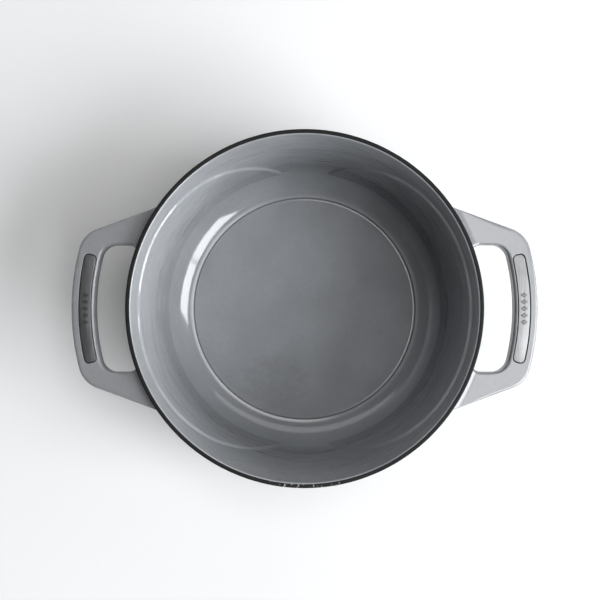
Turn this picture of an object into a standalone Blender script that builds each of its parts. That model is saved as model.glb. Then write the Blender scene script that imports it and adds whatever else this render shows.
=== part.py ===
"""Cast iron dutch oven without its lid: one bowl casting with two loop handles, an enamel lining,
an enamel coat outside, and a steel plate let into the top of each handle.

Metres, +Z up. The handles lie along X, and the origin is under the middle of the foot ring.
"""

import math

import bmesh
import bpy

# ---- Bowl: driving dimensions ----
HEIGHT = 0.116
RIM_RADIUS = 0.135
MOUTH_RADIUS = 0.1309
WALL_TAPER = 0.15
WALL_COS = 1.0 / math.hypot(1.0, WALL_TAPER)
WALL_SIN = WALL_TAPER * WALL_COS
LINING = 0.0007
COAT = 0.0008
GAP = 0.0003

# Inside: the corner between wall and floor, and the edge of the flat floor
CORNER_RADIUS = 0.030
CORNER_Z = HEIGHT - 0.0785
CORNER_R = MOUTH_RADIUS - (HEIGHT - CORNER_Z) * WALL_TAPER - CORNER_RADIUS / WALL_COS
FLOOR_RADIUS = 0.096
FLOOR_Z = CORNER_Z - math.sqrt(CORNER_RADIUS**2 - (FLOOR_RADIUS - CORNER_R) ** 2)

# Inside: the raised arch panel in front of each handle
ARCH_RISE = 0.0017
ARCH_LEDGE = 0.003
ARCH_TOP = 0.015
ARCH_FOOT = 0.088
ARCH_HALF = math.radians(80)
ARCH_FADE = math.radians(6)
ARCH_POWER = 4
CREASE_DEPTH = 0.092

# Outside: the corner between wall and base, and the foot ring
BASE_Z = 0.002
BASE_CORNER = 0.036
BASE_CORNER_Z = BASE_Z + BASE_CORNER
BASE_CORNER_R = RIM_RADIUS - (HEIGHT - BASE_CORNER_Z) * WALL_TAPER - BASE_CORNER / WALL_COS
FOOT_INNER = 0.0840
FOOT_OUTER = 0.0925
FOOT_CHAMFER = 0.0008

# The bare band of ground coat at the rim, and where the grey coat ends under the base
RIM_BAND = 0.0035
RIM_EDGE = 0.0008
COAT_TOP = HEIGHT - RIM_BAND
COAT_BOTTOM = 0.005

# ---- Handles ----
# Each leans down outwards as one tilted plane; its heights are given at the middle of its plate
HANDLE_TOP = HEIGHT - 0.0135
HANDLE_LEAN = math.tan(math.radians(6))
HANDLE_THICK = 0.013
HANDLE_INNER = 0.1608
HANDLE_OUTER = 0.1790
HANDLE_ROUND = 0.0024
OPENING_SIDE = 0.0486
OPENING_CORNER = 0.012
OPENING_ROOT = 0.011
FLARE_ANGLE = math.radians(19.3)
FLARE_OFFSET = 0.1100
SHOULDER_RADIUS = 0.022
FLARE_ROOT = 0.012
ROOT_FILLET = 0.008
ROOT_REACH = 0.006
ROOT_RADIUS = 0.1300
BURIED_RADIUS = 0.1265

# ---- Inlay plates ----
POCKET_INNER = 0.1632
POCKET_OUTER = 0.1732
POCKET_MIDDLE = (POCKET_INNER + POCKET_OUTER) / 2.0
POCKET_HALF = math.radians(14.3)
POCKET_CORNER = 0.0038
POCKET_DEPTH = 0.0035
PLATE_CLEARANCE = 0.0005
PLATE_THICK = 0.0022
PLATE_EDGE = 0.0004
BED_THICK = 0.0005
BED_INSET = 0.0012
MARK_COUNT = 5
MARK_PITCH = 0.0052
MARK_LONG = 0.0056
MARK_WIDE = 0.0040
MARK_RISE = 0.0004
PIN_RADIUS = 0.0018
PIN_HOLE = 0.0021
PIN_LENGTH = 0.0065
PIN_ANGLE = math.radians(9)
BED_BOTTOM = HANDLE_TOP - POCKET_DEPTH + GAP
BED_TOP = BED_BOTTOM + BED_THICK
PLATE_BOTTOM = BED_TOP + GAP
PIN_BOTTOM = BED_TOP - PIN_LENGTH

# ---- Smoothness ----
COLUMNS = 64
WALL_ROWS = 4
LEDGE_ROWS = 3
PANEL_ROWS = 3
CORNER_ROWS = 6
ARC_STEPS = 4
PIN_SIDES = 16
ROUND_TURNS = tuple(math.radians(angle) for angle in (0, 30, 60, 90))
ACROSS = (1.0 / 3.0, 2.0 / 3.0)
FLARE_SHARES = (0.05, 0.12, 0.35, 0.65)
SHARP = math.radians(32)
OVERSHOOT = 0.004


# ---- Mesh helpers ----
def clear_scene():
    for item in list(bpy.data.objects):
        bpy.data.objects.remove(item, do_unlink=True)


def material(name, colour, roughness, metallic=0.0):
    made = bpy.data.materials.new(name)
    made.use_nodes = True
    shader = made.node_tree.nodes["Principled BSDF"]
    shader.inputs["Base Color"].default_value = (*colour, 1.0)
    shader.inputs["Roughness"].default_value = roughness
    shader.inputs["Metallic"].default_value = metallic
    made.diffuse_color = (*colour, 1.0)
    return made


def shade(bm):
    """Smooth shading everywhere but across hard edges."""
    for face in bm.faces:
        face.smooth = True
    for edge in bm.edges:
        edge.smooth = edge.is_manifold and edge.calc_face_angle(0.0) < SHARP


def finish_mesh(bm, name):
    """Turns a bmesh into an object whose faces point outwards."""
    bmesh.ops.recalc_face_normals(bm, faces=bm.faces)
    shade(bm)
    mesh = bpy.data.meshes.new(name)
    bm.to_mesh(mesh)
    bm.free()
    made = bpy.data.objects.new(name, mesh)
    bpy.context.scene.collection.objects.link(made)
    return made


def solid_from_rings(name, rings):
    """A closed solid through rings of equally many points, with a flat cap at each end.

    Every four-sided patch is split the same way, so that nested surfaces stay parallel.
    """
    bm = bmesh.new()
    loops = [[bm.verts.new(point) for point in ring] for ring in rings]
    for lower, upper in zip(loops, loops[1:]):
        for i, point in enumerate(lower):
            after = (i + 1) % len(lower)
            bm.faces.new((point, lower[after], upper[after]))
            bm.faces.new((point, upper[after], upper[i]))
    bm.faces.new(loops[0][::-1])
    bm.faces.new(loops[-1])
    return finish_mesh(bm, name)


def lean(x):
    """How far the lean lifts the handle here; beyond the middle of the plate it lowers it."""
    return (POCKET_MIDDLE - abs(x)) * HANDLE_LEAN


def leaning_prism(name, outline, bottom, top):
    rings = [[(x, y, z + lean(x)) for x, y in outline] for z in (bottom, top)]
    return solid_from_rings(name, rings)


def combine(target, other, operation):
    """Runs an exact Boolean and puts the result in the target, then removes the other object."""
    modifier = target.modifiers.new(operation.title(), "BOOLEAN")
    modifier.operation = operation
    modifier.solver = "EXACT"
    modifier.object = other
    graph = bpy.context.evaluated_depsgraph_get()
    result = bpy.data.meshes.new_from_object(target.evaluated_get(graph))
    target.modifiers.clear()
    target.data = result
    bpy.data.objects.remove(other, do_unlink=True)


def dress(made, look):
    """Gives a finished piece its shading and its one material."""
    bm = bmesh.new()
    bm.from_mesh(made.data)
    shade(bm)
    bm.to_mesh(made.data)
    bm.free()
    made.data.materials.clear()
    made.data.materials.append(look)


def arc(centre, radius, start, end, steps):
    """Points on an arc in plan, both ends included."""
    points = []
    for i in range(steps + 1):
        angle = start + (end - start) * i / steps
        points.append((centre[0] + radius * math.cos(angle), centre[1] + radius * math.sin(angle)))
    return points


def circle(centre, radius):
    """Points all the way round a pin or a hole."""
    return arc(centre, radius, 0.0, math.tau * (1.0 - 1.0 / PIN_SIDES), PIN_SIDES - 1)


def ease(value):
    value = min(max(value, 0.0), 1.0)
    return value * value * (3.0 - 2.0 * value)


# ---- Bowl surfaces ----
def column_angle(column):
    return 2.0 * math.pi * column / COLUMNS


def off_axis(angle):
    """Angle away from the nearer handle's axis, from 0 to a quarter turn."""
    return abs((angle + math.pi / 2.0) % math.pi - math.pi / 2.0)


def arch_depth(angle):
    """How far below the rim the arch panel starts at this angle."""
    share = min(off_axis(angle) / ARCH_HALF, 1.0)
    return ARCH_TOP + (ARCH_FOOT - ARCH_TOP) * share**ARCH_POWER


def arch_strength(angle):
    return 1.0 - ease((off_axis(angle) - ARCH_HALF) / ARCH_FADE)


def corner_radius(z, centre_r, centre_z, rounding):
    """Radius of a round corner below the point where it meets the tapered wall, and no limit above."""
    drop = centre_z - z
    if drop <= rounding * WALL_SIN:
        return math.inf
    return centre_r + math.sqrt(max(rounding**2 - drop**2, 0.0))


def inner_radius(z, angle, offset):
    """Radius of the cavity at a height, moved outwards by an offset."""
    wall = MOUTH_RADIUS - (HEIGHT - z) * WALL_TAPER + offset / WALL_COS
    below = (HEIGHT - z - arch_depth(angle)) / ARCH_LEDGE
    wall -= ARCH_RISE * arch_strength(angle) * ease(below)
    return min(wall, corner_radius(z, CORNER_R, CORNER_Z, CORNER_RADIUS + offset))


def inner_heights(angle, top, offset):
    """Heights of the cavity's rings at this angle: they follow the ledge, so that it stays crisp."""
    ledge = HEIGHT - arch_depth(angle)
    crease = HEIGHT - CREASE_DEPTH - offset / 2.0
    foot = ledge - ARCH_LEDGE
    heights = [top + (ledge - top) * i / WALL_ROWS for i in range(WALL_ROWS)]
    heights += [ledge + (foot - ledge) * i / LEDGE_ROWS for i in range(LEDGE_ROWS)]
    heights += [foot + (crease - foot) * i / PANEL_ROWS for i in range(PANEL_ROWS)]
    radius = CORNER_RADIUS + offset
    start = math.acos((CORNER_Z - crease) / radius)
    end = math.acos((CORNER_Z - FLOOR_Z + offset) / radius)
    for i in range(CORNER_ROWS + 1):
        heights.append(CORNER_Z - radius * math.cos(start + (end - start) * i / CORNER_ROWS))
    return heights


def cavity_rings(top, offset):
    """Rings of points from the mouth down to the middle of the floor."""
    columns = []
    for column in range(COLUMNS):
        angle = column_angle(column)
        points = []
        for z in inner_heights(angle, top, offset):
            radius = inner_radius(z, angle, offset)
            points.append((radius * math.cos(angle), radius * math.sin(angle), z))
        columns.append(points)
    rings = [list(ring) for ring in zip(*columns)]
    rings.append([(x / 2.0, y / 2.0, z) for x, y, z in rings[-1]])
    return rings


def outer_radius(z, inset):
    """Radius of the outer wall at a height, moved inwards by an inset."""
    wall = RIM_RADIUS - (HEIGHT - z) * WALL_TAPER - inset / WALL_COS
    return min(wall, corner_radius(z, BASE_CORNER_R, BASE_CORNER_Z, BASE_CORNER - inset))


def outer_heights(bottom, top):
    """Heights from bottom to top: close together on the corner, then one step up the straight wall."""
    low = math.acos((BASE_CORNER_Z - bottom) / BASE_CORNER)
    high = math.pi / 2.0 - math.atan(WALL_TAPER)
    steps = [low + (high - low) * i / CORNER_ROWS for i in range(CORNER_ROWS + 1)]
    return [BASE_CORNER_Z - BASE_CORNER * math.cos(step) for step in steps] + [top]


def turned(name, profile):
    """A solid turned about Z from (radius, height) pairs."""
    angles = [column_angle(column) for column in range(COLUMNS)]
    rings = [[(r * math.cos(a), r * math.sin(a), z) for a in angles] for r, z in profile]
    return solid_from_rings(name, rings)


# ---- Handles ----
def opening_curve(inset):
    """Half of the finger opening's edge, from inside the wall to the handle's middle."""
    side = OPENING_SIDE + inset
    root_y = OPENING_SIDE - OPENING_ROOT
    root = (math.sqrt((ROOT_RADIUS + OPENING_ROOT) ** 2 - root_y**2), root_y)
    corner_y = OPENING_SIDE - OPENING_CORNER
    corner = (math.sqrt((HANDLE_INNER - OPENING_CORNER) ** 2 - corner_y**2), corner_y)
    into_wall = math.atan2(root[1], root[0])
    buried = (BURIED_RADIUS * math.cos(into_wall), BURIED_RADIUS * math.sin(into_wall))
    points = [buried]
    points += arc(root, OPENING_ROOT + inset, into_wall - math.pi, -1.5 * math.pi, ARC_STEPS)
    straights = len(FLARE_SHARES)
    for i in range(straights):
        share = (i + 1) / (straights + 1)
        points.append((root[0] + (corner[0] - root[0]) * share, side))
    turn = math.atan2(corner[1], corner[0])
    points += arc(corner, OPENING_CORNER + inset, math.pi / 2.0, turn, ARC_STEPS)
    points += arc((0.0, 0.0), HANDLE_INNER + inset, turn, 0.0, ARC_STEPS)[1:]
    return points


def outline_curve(inset):
    """Half of the handle's outer edge, with as many points as the opening's."""
    normal = (math.sin(FLARE_ANGLE), math.cos(FLARE_ANGLE))
    along = (math.cos(FLARE_ANGLE), -math.sin(FLARE_ANGLE))

    def centre(offset, distance):
        reach = math.sqrt(distance**2 - offset**2)
        return tuple(n * offset + a * reach for n, a in zip(normal, along))

    root = centre(FLARE_OFFSET + FLARE_ROOT, ROOT_RADIUS + FLARE_ROOT)
    shoulder = centre(FLARE_OFFSET - SHOULDER_RADIUS, HANDLE_OUTER - SHOULDER_RADIUS)
    facing = math.atan2(normal[1], normal[0])
    into_wall = math.atan2(root[1], root[0])
    points = [(BURIED_RADIUS * math.cos(into_wall), BURIED_RADIUS * math.sin(into_wall))]
    points += arc(root, FLARE_ROOT + inset, into_wall - math.pi, facing - math.pi, ARC_STEPS)
    start = points[-1]
    turn = math.atan2(shoulder[1], shoulder[0])
    bend = arc(shoulder, SHOULDER_RADIUS - inset, facing, turn, ARC_STEPS)
    for share in FLARE_SHARES:
        points.append(tuple(a + (b - a) * share for a, b in zip(start, bend[0])))
    points += bend
    points += arc((0.0, 0.0), HANDLE_OUTER - inset, turn, 0.0, ARC_STEPS)[1:]
    return points


def between(inner, outer, share):
    """A plan point part of the way across the handle, along a line or arc about the bowl's axis."""
    radii = [math.hypot(*point) for point in (inner, outer)]
    angles = [math.atan2(point[1], point[0]) for point in (inner, outer)]
    radius = radii[0] + (radii[1] - radii[0]) * share
    angle = angles[0] + (angles[1] - angles[0]) * share
    return radius, angle


def section(inset):
    """One turn about the handle's section: which edge, how far from it, top or underside, and drop.

    On the flats between the rounded edges, the distance is a share of the width and the drop is None.
    """
    rounding = HANDLE_ROUND - inset
    steps = []
    for edge, face in ((0, 1), (1, 1), (1, -1), (0, -1)):
        enters_flat = (edge, face) in ((0, 1), (1, -1))
        for turn in ROUND_TURNS[::-1] if enters_flat else ROUND_TURNS:
            distance = rounding * (1.0 - math.sin(turn))
            drop = rounding * (1.0 - math.cos(turn))
            steps.append((edge, distance, face, drop))
        if enters_flat:
            steps += [(edge, share, face, None) for share in ACROSS]
    return steps


def root_rise(radius, level, inset):
    """How much the fillet at the wall lifts the handle's top and lowers its underside."""
    reach = ROOT_REACH - (radius - outer_radius(level, 0.0))
    if reach <= 0.0:
        return 0.0
    fillet = ROOT_FILLET + inset
    reach = min(reach, ROOT_REACH)
    return fillet - math.sqrt(fillet**2 - reach**2)


def handle(name, side, inset):
    """One loop handle as a solid that runs into the wall, with every surface moved in by an inset."""
    opening = opening_curve(inset)
    outline = outline_curve(inset)
    opening += [(x, -y) for x, y in opening[-2::-1]]
    outline += [(x, -y) for x, y in outline[-2::-1]]
    top = HANDLE_TOP - inset
    bottom = HANDLE_TOP - HANDLE_THICK + inset
    steps = section(inset)
    rings = []
    for inner, outer in zip(opening, outline):
        width = math.dist(inner, outer)
        ring = []
        for edge, distance, face, drop in steps:
            share = distance if drop is None else distance / width
            if edge:
                share = 1.0 - share
            radius, angle = between(inner, outer, share)
            x = radius * math.cos(angle)
            level = (top if face > 0 else bottom) + lean(x)
            z = level + face * (root_rise(radius, level, inset) - (drop or 0.0))
            ring.append((side * x, radius * math.sin(angle), z))
        rings.append(ring)
    return solid_from_rings(name, rings)


# ---- Parts ----
def sector(inner, outer, half_angle, corner, side):
    """Outline in plan of a strip curved about the bowl's axis, with rounded corners."""
    middle = (inner + outer) / 2.0
    reach = half_angle * middle - corner
    high = outer - corner
    low = inner + corner
    sides = [reach * share for share in (-0.6, -0.2, 0.2, 0.6)]
    points = arc((reach, high), corner, 0.0, math.pi / 2.0, ARC_STEPS)
    points += [(along, outer) for along in reversed(sides)]
    points += arc((-reach, high), corner, math.pi / 2.0, math.pi, ARC_STEPS)
    points += arc((-reach, low), corner, math.pi, 1.5 * math.pi, ARC_STEPS)
    points += [(along, inner) for along in sides]
    points += arc((reach, low), corner, 1.5 * math.pi, 2.0 * math.pi, ARC_STEPS)
    return [(side * r * math.cos(s / middle), r * math.sin(s / middle)) for s, r in points]


def pin_places(side):
    for angle in (-PIN_ANGLE, PIN_ANGLE):
        yield side * POCKET_MIDDLE * math.cos(angle), POCKET_MIDDLE * math.sin(angle)


def pocket(side):
    outline = sector(POCKET_INNER, POCKET_OUTER, POCKET_HALF, POCKET_CORNER, side)
    return leaning_prism("pocket", outline, HANDLE_TOP - POCKET_DEPTH, HANDLE_TOP + OVERSHOOT)


def pot_casting(look):
    """Bowl and handles in one casting, drawn in by the coat's thickness where the coat lies on it."""
    seat = COAT + GAP
    low = COAT_BOTTOM - GAP
    high = COAT_TOP + GAP
    profile = [(FOOT_INNER / 2.0, BASE_Z), (FOOT_INNER - FOOT_CHAMFER, BASE_Z), (FOOT_INNER, 0.0)]
    profile += [(FOOT_OUTER, 0.0), (FOOT_OUTER + FOOT_CHAMFER, BASE_Z)]
    profile += [(outer_radius(low, 0.0), low)]
    profile += [(outer_radius(z, seat), z) for z in outer_heights(low, high)]
    profile += [(outer_radius(high, 0.0), high)]
    profile += [(RIM_RADIUS, HEIGHT - RIM_EDGE), (RIM_RADIUS - RIM_EDGE / 3.0, HEIGHT - RIM_EDGE / 3.0)]
    profile += [(RIM_RADIUS - RIM_EDGE, HEIGHT), (MOUTH_RADIUS / 2.0, HEIGHT)]
    made = turned("pot_casting", profile)
    for side in (-1, 1):
        combine(made, handle("loop", side, seat), "UNION")
    cavity = solid_from_rings("cavity", cavity_rings(HEIGHT + OVERSHOOT, LINING + GAP))
    combine(made, cavity, "DIFFERENCE")
    for side in (-1, 1):
        combine(made, pocket(side), "DIFFERENCE")
        for place in pin_places(side):
            hole = leaning_prism("hole", circle(place, PIN_HOLE), PIN_BOTTOM - GAP, BED_TOP)
            combine(made, hole, "DIFFERENCE")
    dress(made, look)
    return made


def interior_enamel(look):
    """The grey lining: a thin shell over the cavity, open at the mouth."""
    top = HEIGHT - LINING
    inside = cavity_rings(top, 0.0)
    outside = cavity_rings(top, LINING)
    rings = outside[::-1] + inside
    made = solid_from_rings("interior_enamel", rings)
    dress(made, look)
    return made


def exterior_enamel(look):
    """The grey coat over the outer wall and the handles, open at the rim band and under the base."""
    heights = outer_heights(COAT_BOTTOM, COAT_TOP)
    made = turned("exterior_enamel", [(outer_radius(z, 0.0), z) for z in heights])
    core_profile = [(outer_radius(z, COAT), z) for z in heights]
    core_profile[-1] = (outer_radius(HEIGHT + OVERSHOOT, COAT), HEIGHT + OVERSHOOT)
    core_profile.insert(0, (core_profile[0][0], -OVERSHOOT))
    core = turned("core", core_profile)
    for side in (-1, 1):
        combine(made, handle("loop", side, 0.0), "UNION")
        combine(core, handle("loop", side, COAT), "UNION")
    combine(made, core, "DIFFERENCE")
    for side in (-1, 1):
        combine(made, pocket(side), "DIFFERENCE")
    dress(made, look)
    return made


def inlay_plate(name, side, look):
    """The steel plate, with a row of plain raised lozenges in the middle."""
    edge = PLATE_CLEARANCE
    half = POCKET_HALF - edge / POCKET_INNER
    top = PLATE_BOTTOM + PLATE_THICK
    rings = []
    for inset, z in ((0.0, PLATE_BOTTOM), (0.0, top - PLATE_EDGE), (PLATE_EDGE, top)):
        shrink = edge + inset
        angle = half - inset / POCKET_INNER
        outline = sector(
            POCKET_INNER + shrink, POCKET_OUTER - shrink, angle, POCKET_CORNER - shrink, side
        )
        rings.append([(x, y, z + lean(x)) for x, y in outline])
    made = solid_from_rings(name, rings)
    for i in range(MARK_COUNT):
        y = (i - (MARK_COUNT - 1) / 2.0) * MARK_PITCH
        x = side * math.sqrt(POCKET_MIDDLE**2 - y**2)
        corners = ((MARK_LONG / 2, 0.0), (0.0, MARK_WIDE / 2), (-MARK_LONG / 2, 0.0), (0.0, -MARK_WIDE / 2))
        outline = [(x + dx, y + dy) for dx, dy in corners]
        mark = leaning_prism("mark", outline, top - MARK_RISE, top + MARK_RISE)
        combine(made, mark, "UNION")
    dress(made, look)
    return made


def inlay_bed(name, side, look):
    """The thin bed of adhesive under the plate, with a hole round each pin."""
    inset = BED_INSET
    outline = sector(
        POCKET_INNER + inset,
        POCKET_OUTER - inset,
        POCKET_HALF - inset / POCKET_INNER,
        POCKET_CORNER - inset,
        side,
    )
    made = leaning_prism(name, outline, BED_BOTTOM, BED_TOP)
    for place in pin_places(side):
        rim = circle(place, PIN_HOLE)
        hole = leaning_prism("hole", rim, BED_BOTTOM - OVERSHOOT, BED_TOP + OVERSHOOT)
        combine(made, hole, "DIFFERENCE")
    dress(made, look)
    return made


def inlay_pin(name, place, look):
    """A plain locating pin, pressed into a blind hole in the handle."""
    made = leaning_prism(name, circle(place, PIN_RADIUS), PIN_BOTTOM, BED_TOP)
    dress(made, look)
    return made


def main():
    clear_scene()
    ground_coat = material("black_ground_coat", (0.010, 0.010, 0.011), 0.60)
    lining = material("grey_lining", (0.180, 0.187, 0.196), 0.12)
    coat = material("grey_coat", (0.228, 0.232, 0.240), 0.22)
    steel = material("brushed_plate", (0.45, 0.45, 0.46), 0.35, 1.0)
    adhesive = material("dark_adhesive", (0.03, 0.03, 0.03), 0.7)
    pin_steel = material("pin_steel", (0.55, 0.55, 0.56), 0.35, 1.0)
    pot_casting(ground_coat)
    interior_enamel(lining)
    exterior_enamel(coat)
    for word, side in (("left", -1), ("right", 1)):
        inlay_plate(f"{word}_inlay_plate", side, steel)
        inlay_bed(f"{word}_inlay_bed", side, adhesive)
        for place, where in zip(pin_places(side), ("front", "rear")):
            inlay_pin(f"{word}_{where}_inlay_pin", place, pin_steel)


main()
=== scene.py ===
"""Looks of a round enamelled cast iron dutch oven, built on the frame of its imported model.

Metres, +Z up, handles along X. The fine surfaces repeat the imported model's own dimensions.
"""

import math

import bmesh
import bpy
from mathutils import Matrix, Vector


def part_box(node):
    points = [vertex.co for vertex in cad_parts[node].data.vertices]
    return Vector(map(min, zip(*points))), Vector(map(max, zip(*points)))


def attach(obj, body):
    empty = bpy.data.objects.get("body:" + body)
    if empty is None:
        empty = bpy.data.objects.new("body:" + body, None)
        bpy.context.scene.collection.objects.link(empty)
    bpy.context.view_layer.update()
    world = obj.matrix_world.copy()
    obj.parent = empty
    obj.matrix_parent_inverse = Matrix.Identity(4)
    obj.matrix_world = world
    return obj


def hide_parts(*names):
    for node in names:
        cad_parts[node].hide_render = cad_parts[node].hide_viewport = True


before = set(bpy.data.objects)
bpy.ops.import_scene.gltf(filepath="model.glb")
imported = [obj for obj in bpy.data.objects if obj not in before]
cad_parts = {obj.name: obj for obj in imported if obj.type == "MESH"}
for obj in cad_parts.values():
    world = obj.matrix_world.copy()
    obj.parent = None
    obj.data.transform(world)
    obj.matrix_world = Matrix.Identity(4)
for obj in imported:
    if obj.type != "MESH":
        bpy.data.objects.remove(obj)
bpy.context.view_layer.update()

# ---- Bowl ----
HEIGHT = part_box("pot_casting")[1].z
RIM_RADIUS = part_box("pot_casting")[1].y
MOUTH_RADIUS = 0.1309
WALL_TAPER = 0.15
WALL_COS = 1.0 / math.hypot(1.0, WALL_TAPER)
WALL_SIN = WALL_TAPER * WALL_COS
LINING = 0.0007
COAT = 0.0008
GAP = 0.0003
CORNER_RADIUS = 0.030
CORNER_Z = HEIGHT - 0.0785
CORNER_R = MOUTH_RADIUS - (HEIGHT - CORNER_Z) * WALL_TAPER - CORNER_RADIUS / WALL_COS
FLOOR_RADIUS = 0.096
FLOOR_Z = CORNER_Z - math.sqrt(CORNER_RADIUS**2 - (FLOOR_RADIUS - CORNER_R) ** 2)
LIP = 0.0010
GROOVE_DEPTH = 0.00012
GROOVE_WIDTH = 0.0009
FLOOR_RINGS = (0.0935, 0.090, 0.084, 0.076, 0.066, 0.054, 0.040, 0.026, 0.014, 0.006)

# Inside: the raised arch panel in front of each handle
ARCH_RISE = 0.0017
ARCH_LEDGE = 0.003
ARCH_TOP = 0.015
ARCH_FOOT = 0.088
ARCH_HALF = math.radians(80)
ARCH_FADE = math.radians(6)
ARCH_POWER = 4
CREASE_DEPTH = 0.092

# Outside: base corner, foot ring and rim band
BASE_Z = 0.002
BASE_CORNER = 0.036
BASE_CORNER_Z = BASE_Z + BASE_CORNER
BASE_CORNER_R = RIM_RADIUS - (HEIGHT - BASE_CORNER_Z) * WALL_TAPER - BASE_CORNER / WALL_COS
FOOT_INNER = 0.0840
FOOT_OUTER = 0.0925
FOOT_ROUND = 0.0008
BASE_RINGS = (0.02, 0.05, FOOT_INNER - 2.5 * FOOT_ROUND)
# The eased edges of the foot ring, in shares of its rounding out from the edge and of its height
FOOT_INNER_EDGE = ((-1.0, 0.85), (-0.4, 0.45), (0.3, 0.04), (1.0, 0.0))
FOOT_OUTER_EDGE = ((-1.0, 0.0), (-0.3, 0.04), (0.4, 0.45), (1.2, 0.95))
RIM_EDGE = 0.0009
COAT_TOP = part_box("exterior_enamel")[1].z
COAT_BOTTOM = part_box("exterior_enamel")[0].z

# ---- Handles ----
# Each leans down outwards as one tilted plane; its heights are given at the middle of its plate
HANDLE_TOP = HEIGHT - 0.0135
HANDLE_LEAN = math.tan(math.radians(6))
HANDLE_THICK = 0.013
HANDLE_INNER = 0.1608
HANDLE_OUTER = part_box("exterior_enamel")[1].x
HANDLE_ROUND = 0.0024
OPENING_SIDE = 0.0486
OPENING_CORNER = 0.012
OPENING_ROOT = 0.011
FLARE_ANGLE = math.radians(19.3)
FLARE_OFFSET = 0.1100
SHOULDER_RADIUS = 0.022
FLARE_ROOT = 0.012
ROOT_FILLET = 0.008
ROOT_REACH = 0.006
BURIED_DEPTH = 0.0022
BURIED_STEP = 0.0001
ROOT_RADIUS = 0.1300
BURIED_RADIUS = 0.1265

# ---- Inlay plates ----
POCKET_INNER = 0.1632
POCKET_OUTER = 0.1732
POCKET_MIDDLE = (POCKET_INNER + POCKET_OUTER) / 2.0
POCKET_HALF = math.radians(14.3)
POCKET_CORNER = 0.0038
POCKET_DEPTH = 0.0035
POCKET_EASE = 0.0004
CUTTER_OVER = 0.002
PLATE_CLEARANCE = 0.0005
PLATE_THICK = 0.0022
BED_THICK = 0.0005
PLATE_LOW = HANDLE_TOP - POCKET_DEPTH + BED_THICK + 2.0 * GAP
PLATE_TOP = PLATE_LOW + PLATE_THICK
MARK_RISE = 0.0004
PLATE_EDGE = 0.0004
MARK_COUNT = 5
MARK_PITCH = 0.0052
MARK_LONG = 0.0056
MARK_WIDE = 0.0040
# A mark's sides, from inside the plate up: how far they lean in, and their height above the plate
MARK_SIDES = ((0.0, -0.0003), (0.0, 0.0), (0.0003, MARK_RISE - 0.00005), (0.0004, MARK_RISE))

# ---- Fineness ----
# A hair is the least step that keeps two surfaces or two rows of points apart
HAIR = 0.0001
COLUMNS = 288
ARC_STEPS = 14
FLARE_STEPS = 18
TURN_STEPS = 7
ACROSS_STEPS = 14
SIDE_STEPS = 12
SHARP = math.radians(32)
# Rows of points down the bowl's wall, its ledge, its panel and its corner, behind and in front
BACK_ROWS = (4, 4, 6, 8)
FRONT_ROWS = (10, 12, 26, 26)
# Rows down the outer corner and wall: where the iron carries the coat, and the coat's two sides
SEAT_ROWS = (16, 10)
COAT_ROWS = (26, 30)
COAT_BACK_ROWS = (16, 6)
LIP_STEPS = 8
GROOVE_STEPS = 6
RIM_STEPS = 6
EASE_TURNS = tuple(math.radians(turn) for turn in (30, 60, 90))
EDGE_TURNS = tuple(math.radians(turn) for turn in (22.5, 45, 67.5, 90))

# ---- Camera ----
CAMERA_ABOVE_RIM = 0.700
LENS = 56.0
SHIFT_X = -0.0077
SHIFT_Y = 0.0143


# ---- Mesh helpers ----
def make_object(name, bm):
    bmesh.ops.recalc_face_normals(bm, faces=bm.faces)
    return object_as_is(name, bm)


def object_as_is(name, bm):
    """Trusts the faces' directions, as a shell with an inner surface needs."""
    for face in bm.faces:
        face.smooth = True
    for edge in bm.edges:
        edge.smooth = edge.is_manifold and edge.calc_face_angle(0.0) < SHARP
    mesh = bpy.data.meshes.new(name)
    bm.to_mesh(mesh)
    bm.free()
    made = bpy.data.objects.new(name, mesh)
    bpy.context.scene.collection.objects.link(made)
    return made


def add_rings(bm, rings, caps=True, closed=False):
    """Skins a stack of rings of equally many points into a bmesh."""
    loops = [[bm.verts.new(point) for point in ring] for ring in rings]
    pairs = list(zip(loops, loops[1:]))
    if closed:
        pairs.append((loops[-1], loops[0]))
    for lower, upper in pairs:
        for i, point in enumerate(lower):
            after = (i + 1) % len(lower)
            bm.faces.new((point, lower[after], upper[after], upper[i]))
    if caps:
        bm.faces.new(loops[0][::-1])
        bm.faces.new(loops[-1])
    return loops


def arc(centre, radius, start, end, steps):
    points = []
    for i in range(steps + 1):
        angle = start + (end - start) * i / steps
        points.append((centre[0] + radius * math.cos(angle), centre[1] + radius * math.sin(angle)))
    return points


def ease(value):
    value = min(max(value, 0.0), 1.0)
    return value * value * (3.0 - 2.0 * value)


def steps_between(start, end, count):
    """Evenly spaced values from start up to, but without, the end."""
    return [start + (end - start) * i / count for i in range(count)]


# ---- Bowl surfaces ----
ANGLES = [2.0 * math.pi * column / COLUMNS for column in range(COLUMNS)]


def off_axis(angle):
    return abs((angle + math.pi / 2.0) % math.pi - math.pi / 2.0)


def arch_depth(angle):
    share = min(off_axis(angle) / ARCH_HALF, 1.0)
    return ARCH_TOP + (ARCH_FOOT - ARCH_TOP) * share**ARCH_POWER


def arch_strength(angle):
    return 1.0 - ease((off_axis(angle) - ARCH_HALF) / ARCH_FADE)


def corner_radius(z, centre_r, centre_z, rounding):
    drop = centre_z - z
    if drop <= rounding * WALL_SIN:
        return math.inf
    return centre_r + math.sqrt(max(rounding**2 - drop**2, 0.0))


def inner_radius(z, angle, offset):
    wall = MOUTH_RADIUS - (HEIGHT - z) * WALL_TAPER + offset / WALL_COS
    below = (HEIGHT - z - arch_depth(angle)) / ARCH_LEDGE
    wall -= ARCH_RISE * arch_strength(angle) * ease(below)
    return min(wall, corner_radius(z, CORNER_R, CORNER_Z, CORNER_RADIUS + offset))


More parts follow.
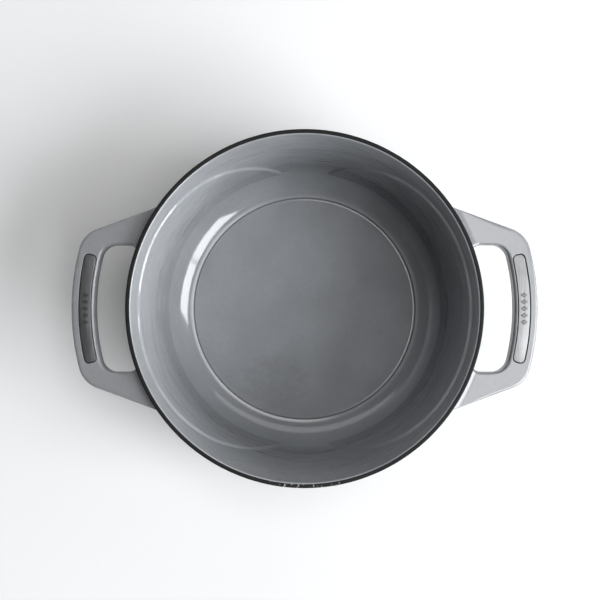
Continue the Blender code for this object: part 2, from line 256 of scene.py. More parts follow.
def inner_heights(angle, top, offset, wall, ledge_rows, panel, corner):
    ledge = HEIGHT - arch_depth(angle)
    crease = HEIGHT - CREASE_DEPTH - offset / 2.0
    foot = ledge - ARCH_LEDGE
    heights = steps_between(top, ledge, wall)
    heights += steps_between(ledge, foot, ledge_rows)
    heights += steps_between(foot, crease, panel)
    radius = CORNER_RADIUS + offset
    start = math.acos((CORNER_Z - crease) / radius)
    end = math.acos((CORNER_Z - FLOOR_Z + offset) / radius)
    heights += [CORNER_Z - radius * math.cos(start + (end - start) * i / corner) for i in range(corner + 1)]
    return heights


def polar(radius, angle, z):
    return (radius * math.cos(angle), radius * math.sin(angle), z)


def cavity_rings(top, offset, wall, ledge_rows, panel, corner):
    columns = []
    for angle in ANGLES:
        heights = inner_heights(angle, top, offset, wall, ledge_rows, panel, corner)
        columns.append([polar(inner_radius(z, angle, offset), angle, z) for z in heights])
    return [list(ring) for ring in zip(*columns)]


def circle_rings(profile):
    return [[polar(radius, angle, z) for angle in ANGLES] for radius, z in profile]


def outer_radius(z, inset):
    wall = RIM_RADIUS - (HEIGHT - z) * WALL_TAPER - inset / WALL_COS
    return min(wall, corner_radius(z, BASE_CORNER_R, BASE_CORNER_Z, BASE_CORNER - inset))


def outer_heights(bottom, top, corner, wall):
    low = math.acos((BASE_CORNER_Z - bottom) / BASE_CORNER)
    high = math.pi / 2.0 - math.atan(WALL_TAPER)
    turns = [low + (high - low) * i / corner for i in range(corner + 1)]
    heights = [BASE_CORNER_Z - BASE_CORNER * math.cos(turn) for turn in turns]
    return heights + steps_between(heights[-1], top, wall)[1:] + [top]


# ---- Handles ----
def lean(x):
    """How far the lean lifts the handle here; beyond the middle of the plate it lowers it."""
    return (POCKET_MIDDLE - abs(x)) * HANDLE_LEAN


def leaning(outline, z):
    return [(x, y, z + lean(x)) for x, y in outline]


def opening_curve(inset):
    side = OPENING_SIDE + inset
    root_y = OPENING_SIDE - OPENING_ROOT
    root = (math.sqrt((ROOT_RADIUS + OPENING_ROOT) ** 2 - root_y**2), root_y)
    corner_y = OPENING_SIDE - OPENING_CORNER
    corner = (math.sqrt((HANDLE_INNER - OPENING_CORNER) ** 2 - corner_y**2), corner_y)
    into_wall = math.atan2(root[1], root[0])
    points = [(BURIED_RADIUS * math.cos(into_wall), BURIED_RADIUS * math.sin(into_wall))]
    points += arc(root, OPENING_ROOT + inset, into_wall - math.pi, -1.5 * math.pi, ARC_STEPS)
    for i in range(FLARE_STEPS):
        share = (i + 1) / (FLARE_STEPS + 1)
        points.append((root[0] + (corner[0] - root[0]) * share, side))
    turn = math.atan2(corner[1], corner[0])
    points += arc(corner, OPENING_CORNER + inset, math.pi / 2.0, turn, ARC_STEPS)
    points += arc((0.0, 0.0), HANDLE_INNER + inset, turn, 0.0, ARC_STEPS)[1:]
    return points


def outline_curve(inset):
    normal = (math.sin(FLARE_ANGLE), math.cos(FLARE_ANGLE))
    along = (math.cos(FLARE_ANGLE), -math.sin(FLARE_ANGLE))

    def centre(offset, distance):
        reach = math.sqrt(distance**2 - offset**2)
        return tuple(n * offset + a * reach for n, a in zip(normal, along))

    root = centre(FLARE_OFFSET + FLARE_ROOT, ROOT_RADIUS + FLARE_ROOT)
    shoulder = centre(FLARE_OFFSET - SHOULDER_RADIUS, HANDLE_OUTER - SHOULDER_RADIUS)
    facing = math.atan2(normal[1], normal[0])
    into_wall = math.atan2(root[1], root[0])
    points = [(BURIED_RADIUS * math.cos(into_wall), BURIED_RADIUS * math.sin(into_wall))]
    points += arc(root, FLARE_ROOT + inset, into_wall - math.pi, facing - math.pi, ARC_STEPS)
    start = points[-1]
    turn = math.atan2(shoulder[1], shoulder[0])
    bend = arc(shoulder, SHOULDER_RADIUS - inset, facing, turn, ARC_STEPS)
    for i in range(FLARE_STEPS):
        share = (i + 1) / (FLARE_STEPS + 1)
        points.append(tuple(a + (b - a) * share for a, b in zip(start, bend[0])))
    points += bend
    points += arc((0.0, 0.0), HANDLE_OUTER - inset, turn, 0.0, ARC_STEPS)[1:]
    return points


def section(inset):
    """One turn about the handle's section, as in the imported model, with finer rounded edges."""
    rounding = HANDLE_ROUND - inset
    turns = [math.pi / 2.0 * i / TURN_STEPS for i in range(TURN_STEPS + 1)]
    across = [(i + 1) / (ACROSS_STEPS + 1) for i in range(ACROSS_STEPS)]
    steps = []
    for edge, face in ((0, 1), (1, 1), (1, -1), (0, -1)):
        enters_flat = (edge, face) in ((0, 1), (1, -1))
        for turn in turns[::-1] if enters_flat else turns:
            distance = rounding * (1.0 - math.sin(turn))
            steps.append((edge, distance, face, rounding * (1.0 - math.cos(turn))))
        if enters_flat:
            steps += [(edge, share, face, None) for share in across]
    return steps


def root_rise(radius, level, inset):
    reach = ROOT_REACH - (radius - outer_radius(level, 0.0))
    if reach <= 0.0:
        return 0.0
    fillet = ROOT_FILLET + inset
    reach = min(reach, ROOT_REACH)
    return fillet - math.sqrt(fillet**2 - reach**2)


def handle_rings(side, inset):
    opening = opening_curve(inset)
    outline = outline_curve(inset)
    opening += [(x, -y) for x, y in opening[-2::-1]]
    outline += [(x, -y) for x, y in outline[-2::-1]]
    top = HANDLE_TOP - inset
    bottom = HANDLE_TOP - HANDLE_THICK + inset
    rounding = HANDLE_ROUND - inset
    rings = []
    for i, (inner, outer) in enumerate(zip(opening, outline)):
        depth = max(BURIED_DEPTH - BURIED_STEP * min(i, len(opening) - 1 - i), BURIED_DEPTH / 2.0)
        width = math.dist(inner, outer)
        radii = [math.hypot(*point) for point in (inner, outer)]
        angles = [math.atan2(point[1], point[0]) for point in (inner, outer)]
        flat_start = rounding / width
        ring = []
        for edge, distance, face, drop in section(inset):
            if drop is None:
                share = flat_start + distance * (1.0 - 2.0 * flat_start)
            else:
                share = distance / width
            if edge:
                share = 1.0 - share
            radius = radii[0] + (radii[1] - radii[0]) * share
            angle = angles[0] + (angles[1] - angles[0]) * share
            x = radius * math.cos(angle)
            level = (top if face > 0 else bottom) + lean(x)
            z = level + face * (root_rise(radius, level, inset) - (drop or 0.0))
            # The buried ends follow the wall, short of its inner face
            pushed = max(radius, outer_radius(z, 0.0) - depth) / radius
            ring.append((side * x * pushed, radius * math.sin(angle) * pushed, z))
        rings.append(ring)
    return rings


def handle_mesh(side, inset):
    """The handle's skin, closed at each end by a ladder of faces across the section."""
    bm = bmesh.new()
    loops = add_rings(bm, handle_rings(side, inset), caps=False)
    for loop in (loops[0], loops[-1]):
        for i in range(len(loop) // 2 - 1):
            bm.faces.new((loop[i], loop[i + 1], loop[-i - 2], loop[-i - 1]))
    bmesh.ops.recalc_face_normals(bm, faces=bm.faces)
    return bm


def sector(inner, outer, half_angle, corner, side):
    """The round-cornered outline of a piece of a ring, on one side of the pot."""
    middle = (inner + outer) / 2.0
    reach = half_angle * middle - corner
    high = outer - corner
    low = inner + corner
    sides = [reach * (i / SIDE_STEPS - 1.0) for i in range(1, 2 * SIDE_STEPS)]
    points = arc((reach, high), corner, 0.0, math.pi / 2.0, ARC_STEPS)
    points += [(along, outer) for along in reversed(sides)]
    points += arc((-reach, high), corner, math.pi / 2.0, math.pi, ARC_STEPS)
    points += arc((-reach, low), corner, math.pi, 1.5 * math.pi, ARC_STEPS)
    points += [(along, inner) for along in sides]
    points += arc((reach, low), corner, 1.5 * math.pi, 2.0 * math.pi, ARC_STEPS)
    return [(side * r * math.cos(s / middle), r * math.sin(s / middle)) for s, r in points]


def pocket_cutter(side):
    """The pocket under the plate, eased outwards at its top edge."""
    bm = bmesh.new()
    rings = []
    floor = HANDLE_TOP - POCKET_DEPTH
    levels = [(0.0, floor), (0.0, HANDLE_TOP - POCKET_EASE)]
    for turn in EASE_TURNS:
        spread = POCKET_EASE * (1.0 - math.cos(turn))
        levels.append((spread, HANDLE_TOP - POCKET_EASE * (1.0 - math.sin(turn))))
    levels.append((POCKET_EASE, HANDLE_TOP + CUTTER_OVER))
    for spread, z in levels:
        half = POCKET_HALF + spread / POCKET_INNER
        outline = sector(POCKET_INNER - spread, POCKET_OUTER + spread, half, POCKET_CORNER + spread, side)
        rings.append(leaning(outline, z))
    add_rings(bm, rings)
    return make_object("pocket_cutter", bm)


def cut(target, cutter):
    modifier = target.modifiers.new("Pocket", "BOOLEAN")
    modifier.operation = "DIFFERENCE"
    modifier.solver = "EXACT"
    modifier.object = cutter
    graph = bpy.context.evaluated_depsgraph_get()
    result = bpy.data.meshes.new_from_object(target.evaluated_get(graph))
    target.modifiers.clear()
    target.data = result
    bpy.data.objects.remove(cutter, do_unlink=True)


def join_into(bm, other):
    bm.from_mesh(other.data)
    bpy.data.objects.remove(other, do_unlink=True)


def cut_handle(side, inset, hollow):
    """One loop handle with its pocket cut, as a shell or as a solid core."""
    bm = handle_mesh(side, inset)
    if hollow:
        core = handle_mesh(side, inset + COAT)
        bmesh.ops.reverse_faces(core, faces=core.faces)
        inside = bpy.data.meshes.new("inside")
        core.to_mesh(inside)
        core.free()
        bm.from_mesh(inside)
        bpy.data.meshes.remove(inside)
    mesh = bpy.data.meshes.new("handle")
    bm.to_mesh(mesh)
    bm.free()
    made = bpy.data.objects.new("handle", mesh)
    bpy.context.scene.collection.objects.link(made)
    cut(made, pocket_cutter(side))
    return made


# ---- Node helpers ----
class Look:
    """A material whose one Principled shader is driven by nodes."""

    def __init__(self, name, metallic=0.0):
        self.material = bpy.data.materials.new(name)
        self.material.use_nodes = True
        self.tree = self.material.node_tree
        self.shader = self.tree.nodes["Principled BSDF"]
        self.shader.inputs["Metallic"].default_value = metallic
        self.shader.inputs["IOR"].default_value = 1.5
        place = self.tree.nodes.new("ShaderNodeTexCoord")
        self.place = place.outputs["Object"]

    def put(self, target, value):
        if isinstance(value, bpy.types.NodeSocket):
            self.tree.links.new(value, target)
        elif value is not None:
            target.default_value = value

    def mapping(self, scale):
        node = self.tree.nodes.new("ShaderNodeMapping")
        self.put(node.inputs["Vector"], self.place)
        node.inputs["Scale"].default_value = scale
        return node.outputs["Vector"]

    def noise(self, scale, detail=2.0, rough=0.5, vector=None):
        node = self.tree.nodes.new("ShaderNodeTexNoise")
        self.put(node.inputs["Vector"], vector or self.place)
        node.inputs["Scale"].default_value = scale
        node.inputs["Detail"].default_value = detail
        node.inputs["Roughness"].default_value = rough
        return node.outputs["Fac"]

    def spots(self, scale):
        node = self.tree.nodes.new("ShaderNodeTexVoronoi")
        self.put(node.inputs["Vector"], self.place)
        node.inputs["Scale"].default_value = scale
        return node.outputs["Distance"]

    def math(self, operation, a, b=None):
        node = self.tree.nodes.new("ShaderNodeMath")
        node.operation = operation
        self.put(node.inputs[0], a)
        self.put(node.inputs[1], b)
        return node.outputs[0]

    def between(self, value, low, high, start=0.0, end=1.0):
        node = self.tree.nodes.new("ShaderNodeMapRange")
        node.interpolation_type = "SMOOTHSTEP"
        self.put(node.inputs["Value"], value)
        node.inputs["From Min"].default_value = low
        node.inputs["From Max"].default_value = high
        node.inputs["To Min"].default_value = start
        node.inputs["To Max"].default_value = end
        return node.outputs["Result"]

    def axis(self, name, source=None):
        node = self.tree.nodes.new("ShaderNodeSeparateXYZ")
        self.put(node.inputs[0], source or self.place)
        return node.outputs[name]

    def square(self, name):
        value = self.axis(name)
        return self.math("MULTIPLY", value, value)

    def mix(self, factor, a, b):
        node = self.tree.nodes.new("ShaderNodeMix")
        node.data_type = "RGBA"
        self.put(node.inputs["Factor"], factor)
        for socket, value in ((node.inputs[6], a), (node.inputs[7], b)):
            if isinstance(value, tuple):
                value = (*value, 1.0)
            self.put(socket, value)
        return node.outputs[2]

    def bump(self, height, distance, under=None):
        node = self.tree.nodes.new("ShaderNodeBump")
        node.inputs["Strength"].default_value = 1.0
        node.inputs["Distance"].default_value = distance
        self.put(node.inputs["Height"], height)
        if under is not None:
            self.put(node.inputs["Normal"], under)
        return node.outputs["Normal"]

    def finish(self, colour, roughness, normal=None):
        self.put(self.shader.inputs["Base Color"], colour)
        self.put(self.shader.inputs["Roughness"], roughness)
        self.put(self.shader.inputs["Normal"], normal)
        return self.material


def shade_of(colour, factor):
    return tuple(channel * factor for channel in colour)


# ---- Materials ----
def grey(level):
    return (level, level, level)


LINING_GREY = (0.174, 0.180, 0.189)
COAT_GREY = (0.152, 0.155, 0.161)
SPECK_GLINT_GREY = (0.32, 0.33, 0.34)
IRON_DARK = (0.004, 0.004, 0.0043)
IRON_LIGHT = (0.009, 0.009, 0.0093)
NICK_GLINT_GREY = grey(0.22)
STEEL_DARK = (0.125, 0.126, 0.128)
STEEL_LIGHT = (0.185, 0.186, 0.188)
STEEL_DULL = grey(0.105)
MARK_GREY = grey(0.07)
ADHESIVE_DARK = (0.020, 0.020, 0.020)
ADHESIVE_LIGHT = (0.042, 0.041, 0.040)
PIN_DARK = (0.45, 0.45, 0.46)
PIN_LIGHT = (0.60, 0.60, 0.61)
TABLE_DARK = (0.435, 0.435, 0.437)
TABLE_LIGHT = (0.445, 0.445, 0.447)
STAIN_AT = (-0.026, -0.064)
STAIN_SIZE = (0.034, 0.028)
# Heights between which the floor's painted shade line fades out and the wall's waves fade in
CREASE_SHADE_ENDS = (0.030, 0.034)
WAVES_START = (0.032, 0.048)
# Where the rim's nicks, painted bright as glints, fade: towards -Y, and sideways from their middle
NICK_GLINTS_FORWARD = (-0.128, -0.131)
NICK_GLINTS_MIDDLE = -0.002
NICK_GLINTS_ASIDE = (0.020, 0.036)


def lining_look():
    look = Look("lining_enamel")
    cloud = look.noise(28.0, detail=3.0)
    fine = look.noise(280.0, detail=2.0)
    cloudy = look.between(cloud, 0.3, 0.7)
    colour = look.mix(cloudy, shade_of(LINING_GREY, 0.96), shade_of(LINING_GREY, 1.05))
    colour = look.mix(look.between(fine, 0.35, 0.65, 0.0, 0.18), colour, shade_of(LINING_GREY, 0.82))
    # The stain: a blotchy patch on the floor
    x = look.math("DIVIDE", look.math("SUBTRACT", look.axis("X"), STAIN_AT[0]), STAIN_SIZE[0])
    y = look.math("DIVIDE", look.math("SUBTRACT", look.axis("Y"), STAIN_AT[1]), STAIN_SIZE[1])
    apart = look.math("SQRT", look.math("ADD", look.math("MULTIPLY", x, x), look.math("MULTIPLY", y, y)))
    ragged = look.math("ADD", apart, look.math("MULTIPLY", look.noise(75.0, detail=4.0, rough=0.65), 0.9))
    patch = look.between(ragged, 1.05, 1.45, 1.0, 0.0)
    low = look.between(look.axis("Z"), FLOOR_Z + 0.0005, FLOOR_Z + 0.002, 1.0, 0.0)
    patch = look.math("MULTIPLY", patch, low)
    blotch = look.between(look.noise(80.0, detail=4.0, rough=0.7), 0.42, 0.60)
    stain = look.math("MULTIPLY", patch, look.math("ADD", look.math("MULTIPLY", blotch, 0.6), 0.25))
    colour = look.mix(stain, colour, shade_of(LINING_GREY, 0.76))
    # Painted highlights: tiny lighter specks in the stain that stand in for glints off small bumps
    dots = look.between(look.spots(330.0), 0.10, 0.22, 1.0, 0.0)
    some = look.between(look.noise(160.0, detail=1.0), 0.56, 0.60)
    speck_glints = look.math("MULTIPLY", look.math("MULTIPLY", dots, some), patch)
    colour = look.mix(look.math("MULTIPLY", speck_glints, 0.30), colour, SPECK_GLINT_GREY)
    # Painted shade: the thin groove where the floor meets the fillet gets a dull dark line that stands in
    # for the crease's shadow
    across = look.math("SQRT", look.math("ADD", look.square("X"), look.square("Y")))
    off_line = look.math("ABSOLUTE", look.math("SUBTRACT", across, FLOOR_RADIUS - GROOVE_WIDTH / 2.0))
    crease_shade = look.between(off_line, GROOVE_WIDTH * 0.35, GROOVE_WIDTH * 0.75, 1.0, 0.0)
    crease_shade = look.math("MULTIPLY", crease_shade, look.between(look.axis("Z"), *CREASE_SHADE_ENDS, 1.0, 0.0))
    colour = look.mix(look.math("MULTIPLY", crease_shade, 0.8), colour, shade_of(LINING_GREY, 0.40))
    look.put(look.shader.inputs["Specular IOR Level"], look.between(crease_shade, 0.0, 1.0, 0.5, 0.05))
    roughness = look.between(cloud, 0.3, 0.7, 0.07, 0.12)
    roughness = look.math("ADD", roughness, look.math("MULTIPLY", stain, 0.16))
    roughness = look.math("ADD", roughness, look.math("MULTIPLY", crease_shade, 0.40))
    # The wall was drawn in rings, which leaves long shallow waves that break up what it mirrors
    rings = look.noise(62.0, detail=2.0, vector=look.mapping((0.35, 0.35, 1.0)))
    wall = look.between(look.axis("Z"), *WAVES_START)
    waves = look.bump(look.math("MULTIPLY", rings, wall), 0.0015)
    ridges = look.noise(150.0, detail=3.0, rough=0.6, vector=look.mapping((0.12, 0.12, 1.0)))
    waves = look.bump(look.math("MULTIPLY", ridges, wall), 0.0005, under=waves)
    drift = look.bump(look.noise(42.0, detail=1.0), 0.00016, under=waves)
    peel = look.bump(look.noise(330.0, detail=1.0), 0.000012, under=drift)
    return look.finish(colour=colour, roughness=roughness, normal=peel)


def coat_look():
    look = Look("coat_enamel")
    cloud = look.noise(34.0, detail=3.0)
    fine = look.noise(300.0, detail=2.0)
    colour = look.mix(look.between(cloud, 0.3, 0.7), shade_of(COAT_GREY, 0.95), shade_of(COAT_GREY, 1.05))
    colour = look.mix(look.between(fine, 0.35, 0.65, 0.0, 0.16), colour, shade_of(COAT_GREY, 0.80))
    geometry = look.tree.nodes.new("ShaderNodeNewGeometry")
    slope = look.axis("Z", geometry.outputs["Normal"])
    edge = look.math("MULTIPLY", look.between(slope, 0.30, 0.60), look.between(slope, 0.80, 0.97, 1.0, 0.0))
    worn = look.math("MULTIPLY", edge, look.between(look.noise(150.0, detail=3.0), 0.40, 0.65))
    colour = look.mix(look.math("MULTIPLY", worn, 0.45), colour, shade_of(COAT_GREY, 0.62))
    roughness = look.between(cloud, 0.3, 0.7, 0.19, 0.26)
    waves = look.bump(look.noise(55.0, detail=2.0), 0.00016)
    peel = look.bump(look.noise(260.0, detail=1.0), 0.00001, under=waves)
    return look.finish(colour=colour, roughness=roughness, normal=peel)


def iron_look():
    look = Look("ground_coat_iron")
    look.shader.inputs["Specular IOR Level"].default_value = 0.22
    cloud = look.noise(60.0, detail=4.0, rough=0.6)
    grain = look.noise(1400.0, detail=2.0)
    colour = look.mix(look.between(cloud, 0.35, 0.65), IRON_DARK, IRON_LIGHT)
    # Small nicks along the front of the rim, painted light grey to show the glints of light they catch
    forward = look.between(look.axis("Y"), *NICK_GLINTS_FORWARD)
    aside = look.math("ABSOLUTE", look.math("SUBTRACT", look.axis("X"), NICK_GLINTS_MIDDLE))
    middle = look.between(aside, *NICK_GLINTS_ASIDE, 1.0, 0.0)
    high = look.between(look.axis("Z"), HEIGHT - 0.0012, HEIGHT - 0.0004)
    nick_glint = look.between(look.noise(520.0, detail=2.0, rough=0.6), 0.60, 0.66)
    nick_glint = look.math("MULTIPLY", nick_glint, look.math("MULTIPLY", forward, look.math("MULTIPLY", middle, high)))
    colour = look.mix(nick_glint, colour, NICK_GLINT_GREY)
    roughness = look.between(cloud, 0.35, 0.65, 0.55, 0.70)
    rough = look.bump(grain, 0.00008)
    swell = look.bump(look.noise(180.0, detail=3.0), 0.00018, under=rough)
    return look.finish(colour=colour, roughness=roughness, normal=swell)


def steel_look():
    look = Look("plate_steel", metallic=1.0)
    lengthwise = look.mapping((1.0, 0.035, 1.0))
    strokes = look.noise(1500.0, detail=3.0, rough=0.7, vector=lengthwise)
    broad = look.noise(45.0, detail=2.0)
    colour = look.mix(look.between(strokes, 0.3, 0.7), STEEL_DARK, STEEL_LIGHT)
    dull = look.between(broad, 0.45, 0.7)
    colour = look.mix(look.math("MULTIPLY", dull, 0.35), colour, STEEL_DULL)
    roughness = look.between(strokes, 0.3, 0.7, 0.40, 0.50)
    roughness = look.math("ADD", roughness, look.math("MULTIPLY", dull, 0.06))
    # The raised marks are darker than the brushed field around them
    out = look.math("SUBTRACT", look.math("ABSOLUTE", look.axis("X")), POCKET_MIDDLE)
    level = look.math("ADD", look.axis("Z"), look.math("MULTIPLY", out, HANDLE_LEAN))
    mark = look.between(level, PLATE_TOP + 0.00005, PLATE_TOP + MARK_RISE * 0.6)
    colour = look.mix(look.math("MULTIPLY", mark, 0.7), colour, MARK_GREY)
    normal = look.bump(strokes, 0.000005)
    return look.finish(colour=colour, roughness=roughness, normal=normal)


def adhesive_look():
    look = Look("adhesive")
    cloud = look.noise(240.0, detail=3.0)
    colour = look.mix(look.between(cloud, 0.35, 0.65), ADHESIVE_DARK, ADHESIVE_LIGHT)
    roughness = look.between(cloud, 0.35, 0.65, 0.6, 0.8)
    return look.finish(colour=colour, roughness=roughness, normal=look.bump(cloud, 0.00006))


def pin_look():
    look = Look("pin_steel", metallic=1.0)
    turned = look.noise(1800.0, detail=2.0, vector=look.mapping((0.3, 0.3, 2.0)))
    colour = look.mix(look.between(turned, 0.35, 0.65), PIN_DARK, PIN_LIGHT)
    roughness = look.between(turned, 0.35, 0.65, 0.28, 0.42)
    return look.finish(colour=colour, roughness=roughness, normal=look.bump(turned, 0.00001))


def table_look():
    look = Look("table_white")
    cloud = look.noise(3.0, detail=2.0)
    colour = look.mix(look.between(cloud, 0.3, 0.7), TABLE_DARK, TABLE_LIGHT)
    return look.finish(colour=colour, roughness=0.55)


# ---- Pieces ----
def take_over(piece, look, slot, *nodes):
    piece.data.materials.clear()
    piece.data.materials.append(look)
    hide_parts(*nodes)
    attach(piece, "root")


def build_lining():
    bm = bmesh.new()
    back = cavity_rings(HEIGHT - LINING - 2.0 * HAIR, LINING, *BACK_ROWS)
    rings = [[(x / 2.0, y / 2.0, z) for x, y, z in back[-1]]]
    rings += back[::-1]
    mouth = MOUTH_RADIUS - LIP * WALL_TAPER
    lip = []
    for i in range(LIP_STEPS, 0, -1):
        turn = math.pi / 2.0 * i / LIP_STEPS
        lip.append((mouth + LIP * (1.0 - math.cos(turn)), HEIGHT - HAIR - LIP * (1.0 - math.sin(turn))))
    rings += circle_rings(lip)
    rings += cavity_rings(HEIGHT - LIP, 0.0, *FRONT_ROWS)
    floor = []
    for i in range(1, GROOVE_STEPS + 1):
        share = i / GROOVE_STEPS
        dip = GROOVE_DEPTH * math.sin(math.pi * share)
        floor.append((FLOOR_RADIUS - GROOVE_WIDTH * share, FLOOR_Z - dip))
    floor += [(radius, FLOOR_Z) for radius in FLOOR_RINGS]
    rings += circle_rings(floor)
    add_rings(bm, rings)
    return make_object("lining", bm)


def foot_profile():
    """From the middle of the base out over the foot ring: its edges are eased by listed points."""
    profile = [(radius, BASE_Z) for radius in BASE_RINGS]
    profile += [(FOOT_INNER + FOOT_ROUND * out, BASE_Z * rise) for out, rise in FOOT_INNER_EDGE]
    profile += [(FOOT_OUTER + FOOT_ROUND * out, BASE_Z * rise) for out, rise in FOOT_OUTER_EDGE]
    return profile


def rim_profile():
    """From the coat's top edge up over the rim and into the mouth."""
    high = COAT_TOP + GAP
    side = outer_radius(high, 0.0)
    profile = [(side - HAIR, high), (side, high + HAIR)]
    side = outer_radius(HEIGHT - RIM_EDGE, 0.0)
    for i in range(RIM_STEPS + 1):
        turn = math.pi / 2.0 * i / RIM_STEPS
        drop = RIM_EDGE * (1.0 - math.sin(turn))
        profile.append((side - RIM_EDGE * (1.0 - math.cos(turn)), HEIGHT - drop))
    mouth = MOUTH_RADIUS + LINING + GAP
    profile += [(mouth + 12.0 * HAIR, HEIGHT), (mouth + 3.0 * HAIR, HEIGHT - HAIR / 2.0)]
    profile += [(mouth, HEIGHT - 3.0 * HAIR)]
    return profile


def build_casting():
    low = COAT_BOTTOM - GAP
    profile = foot_profile()
    profile += [(outer_radius(low, 0.0) - 12.0 * HAIR, low - 7.0 * HAIR), (outer_radius(low, 0.0), low)]
    profile += [(outer_radius(z, COAT + GAP), z) for z in outer_heights(low, COAT_TOP + GAP, *SEAT_ROWS)]
    rings = circle_rings(profile + rim_profile())
    rings += cavity_rings(HEIGHT - 10.0 * HAIR, LINING + GAP, *BACK_ROWS)
    bm = bmesh.new()
    add_rings(bm, rings)
    bmesh.ops.recalc_face_normals(bm, faces=bm.faces)
    for side in (-1, 1):
        join_into(bm, cut_handle(side, COAT + GAP, hollow=False))
    return make_object("casting", bm)


def build_coat():
    bm = bmesh.new()
    heights = outer_heights(COAT_BOTTOM, COAT_TOP - 4.0 * HAIR, *COAT_ROWS)
    outside = [(outer_radius(z, 0.0), z) for z in heights]
    edge = [(outer_radius(COAT_TOP - HAIR, 0.0) - 2.0 * HAIR, COAT_TOP - HAIR)]
    edge += [(outer_radius(COAT_TOP, 0.0) - 5.0 * HAIR, COAT_TOP)]
    inside = [(outer_radius(z, COAT), z) for z in outer_heights(COAT_BOTTOM, COAT_TOP, *COAT_BACK_ROWS)]
    rings = circle_rings(outside + edge + inside[::-1])
    add_rings(bm, rings, caps=False, closed=True)
    bmesh.ops.recalc_face_normals(bm, faces=bm.faces)
    for side in (-1, 1):
        join_into(bm, cut_handle(side, 0.0, hollow=True))
    made = object_as_is("coat", bm)
    even = made.modifiers.new("even_flats", "WEIGHTED_NORMAL")
    even.keep_sharp = True
    return made


def build_plate(word, side):
    bm = bmesh.new()
    levels = [(0.0, PLATE_LOW), (0.0, PLATE_TOP - PLATE_EDGE)]
    for turn in EDGE_TURNS:
        inset = PLATE_EDGE * (1.0 - math.cos(turn))
        levels.append((inset, PLATE_TOP - PLATE_EDGE * (1.0 - math.sin(turn))))
    rings = []
    for inset, z in levels:
        shrink = PLATE_CLEARANCE + inset
        half = POCKET_HALF - shrink / POCKET_INNER
        outline = sector(POCKET_INNER + shrink, POCKET_OUTER - shrink, half, POCKET_CORNER - shrink, side)
        rings.append(leaning(outline, z))
    add_rings(bm, rings)
    for i in range(MARK_COUNT):
        y = (i - (MARK_COUNT - 1) / 2.0) * MARK_PITCH
        x = side * math.sqrt(POCKET_MIDDLE**2 - y**2)
        rings = []
        for slope, rise in MARK_SIDES:
            long = MARK_LONG / 2 - slope
            wide = MARK_WIDE / 2 - slope
            corners = [(x + a * long, y + b * wide) for a, b in ((1, 0), (0, 1), (-1, 0), (0, -1))]
            rings.append(leaning(corners, PLATE_TOP + rise))
        add_rings(bm, rings)
    return make_object(f"{word}_plate", bm)


iron = iron_look()
lining = lining_look()
coat = coat_look()
steel = steel_look()
adhesive = adhesive_look()
pin = pin_look()

take_over(build_lining(), lining, "lining_enamel", "interior_enamel")
take_over(build_casting(), iron, "ground_coat_iron", "pot_casting")
take_over(build_coat(), coat, "coat_enamel", "exterior_enamel")
for word, side in (("left", -1), ("right", 1)):
    take_over(build_plate(word, side), steel, "plate_steel", f"{word}_inlay_plate")
for name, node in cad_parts.items():
    if name.endswith(("_bed", "_pin")):
        node.data.materials.clear()
        node.data.materials.append(adhesive if name.endswith("_bed") else pin)


# ---- Table, light and camera ----
TABLE_HALF = 4.0
TABLE_CELLS = 8
AIM_Z = 0.06
DAYLIGHT = (0.965, 0.985, 1.0)
# The window: two panels with a narrow bar between them. Sides and slit are shares of the distance
KEY_AZIMUTH = -23.5
KEY_RISE = 39.0
KEY_DISTANCE = 4.5
KEY_WIDE = 0.80
KEY_HIGH = 0.46
KEY_SLIT = 0.014
KEY_RADIANCE = 12.0
# A wide panel behind the pot, and a low one under the window that reaches the left inner wall
FILL_AZIMUTH = 90.0
FILL_RISE = 33.5
FILL_DISTANCE = 2.4
FILL_WIDE = 1.7
FILL_HIGH = 0.40
FILL_RADIANCE = 1.6
LOW_RISE = 17.0
LOW_DISTANCE = 3.0
LOW_WIDE = 1.2
LOW_HIGH = 0.24
LOW_RADIANCE = 12.0
# The ceiling is bright between these sines of elevation, on the side that faces this azimuth
CEILING_RADIANCE = 5.2
CEILING_LOW = 0.84
CEILING_LOW_SOFT = 0.06
CEILING_HIGH = 0.982
CEILING_HIGH_SOFT = 0.008
CEILING_AZIMUTH = 20.0
CEILING_FAR = 0.16
CEILING_NEAR_AT = 0.15
# Radiance of the pale walls near the horizon, and of the room above them, as shares of the ceiling's
WALLS = 0.37
WALLS_TOP = 0.08
ROOM = 0.010
ROOM_FROM = 0.30


def build_table():
    bm = bmesh.new()
    bmesh.ops.create_grid(bm, x_segments=TABLE_CELLS, y_segments=TABLE_CELLS, size=TABLE_HALF)
    bmesh.ops.translate(bm, verts=bm.verts, vec=(0.0, 0.0, -2.0 * HAIR))
    made = make_object("table", bm)
    made.data.materials.append(table_look())


def panel(name, azimuth, elevation, distance, wide, high, radiance, aside=0.0):
    """A soft light panel facing the pot, moved sideways by aside. Its sides are shares of its distance."""
    a, e = math.radians(azimuth), math.radians(elevation)
    out = Vector((math.cos(a) * math.cos(e), math.sin(a) * math.cos(e), math.sin(e)))
    right = Vector((-math.sin(a), math.cos(a), 0.0))
    data = bpy.data.lights.new(name, "AREA")
    data.shape = "RECTANGLE"
    data.size = wide * distance
    data.size_y = high * distance
    data.energy = radiance * math.pi * data.size * data.size_y
    data.color = DAYLIGHT
    made = bpy.data.objects.new(name, data)
    made.rotation_mode = "QUATERNION"
    made.rotation_quaternion = out.to_track_quat("Z", "Y")
    made.location = out * distance + right * (aside * distance) + Vector((0.0, 0.0, AIM_Z))
    made.visible_camera = False
    bpy.context.scene.collection.objects.link(made)


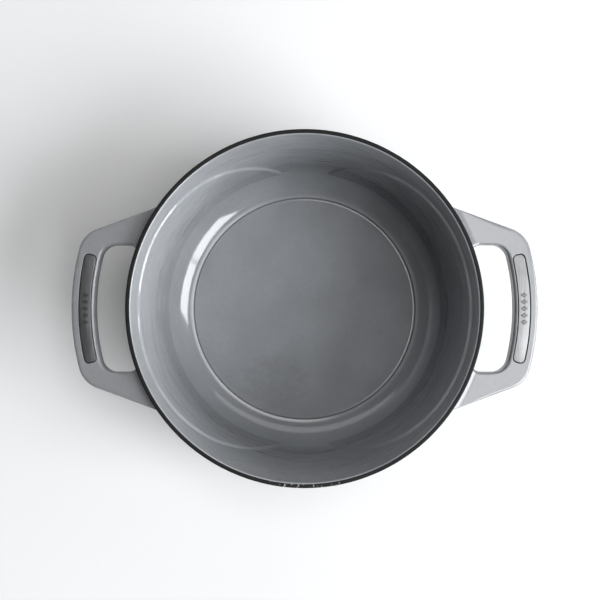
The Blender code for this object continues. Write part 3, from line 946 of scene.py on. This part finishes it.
def build_lights():
    half = (KEY_WIDE - KEY_SLIT) / 2.0
    for share in (-1, 1):
        aside = share * (half + KEY_SLIT) / 2.0
        panel(f"key_{share + 1}", KEY_AZIMUTH, KEY_RISE, KEY_DISTANCE, half, KEY_HIGH, KEY_RADIANCE, aside)
    panel("fill", FILL_AZIMUTH, FILL_RISE, FILL_DISTANCE, FILL_WIDE, FILL_HIGH, FILL_RADIANCE)
    panel("low", KEY_AZIMUTH, LOW_RISE, LOW_DISTANCE, LOW_WIDE, LOW_HIGH, LOW_RADIANCE)


def build_world():
    """Pale walls near the horizon, a dim room above them, and a ceiling that is lit on one side."""
    world = bpy.data.worlds.new("studio")
    bpy.context.scene.world = world
    world.use_nodes = True
    nodes, links = world.node_tree.nodes, world.node_tree.links
    place = nodes.new("ShaderNodeTexCoord")
    turn = nodes.new("ShaderNodeMapping")
    split = nodes.new("ShaderNodeSeparateXYZ")
    turn.inputs["Rotation"].default_value = (0.0, 0.0, math.radians(-CEILING_AZIMUTH))
    links.new(place.outputs["Generated"], turn.inputs["Vector"])
    links.new(turn.outputs["Vector"], split.inputs[0])

    def ramp(axis, stops):
        node = nodes.new("ShaderNodeValToRGB")
        elements = node.color_ramp.elements
        for at, level in stops:
            elements.new(at).color = (level, level, level, 1.0)
        elements.remove(elements[0])
        elements.remove(elements[-1])
        links.new(split.outputs[axis], node.inputs["Fac"])
        return node.outputs["Color"]

    def blend(kind, a, b):
        node = nodes.new("ShaderNodeMix")
        node.data_type = "RGBA"
        node.blend_type = kind
        node.inputs["Factor"].default_value = 1.0
        links.new(a, node.inputs[6])
        links.new(b, node.inputs[7])
        return node.outputs[2]

    room = ramp("Z", ((WALLS_TOP, WALLS), (ROOM_FROM, ROOM)))
    rise = ((CEILING_LOW, 0.0), (CEILING_LOW + CEILING_LOW_SOFT, 1.0))
    fall = ((CEILING_HIGH, 1.0), (CEILING_HIGH + CEILING_HIGH_SOFT, 0.0))
    ceiling = ramp("Z", rise + fall)
    near = ramp("X", ((0.001, CEILING_FAR), (CEILING_NEAR_AT, 1.0)))
    links.new(blend("ADD", room, blend("MULTIPLY", ceiling, near)), nodes["Background"].inputs["Color"])
    nodes["Background"].inputs["Strength"].default_value = CEILING_RADIANCE


def build_camera():
    data = bpy.data.cameras.new("camera")
    data.lens = LENS
    data.sensor_width = 36.0
    data.shift_x = SHIFT_X
    data.shift_y = SHIFT_Y
    made = bpy.data.objects.new("camera", data)
    made.location = (0.0, 0.0, HEIGHT + CAMERA_ABOVE_RIM)
    bpy.context.scene.collection.objects.link(made)
    bpy.context.scene.camera = made


build_table()
build_lights()
build_world()
build_camera()
bpy.context.scene.view_settings.view_transform = "Standard"
bpy.context.scene.view_settings.look = "Medium High Contrast"
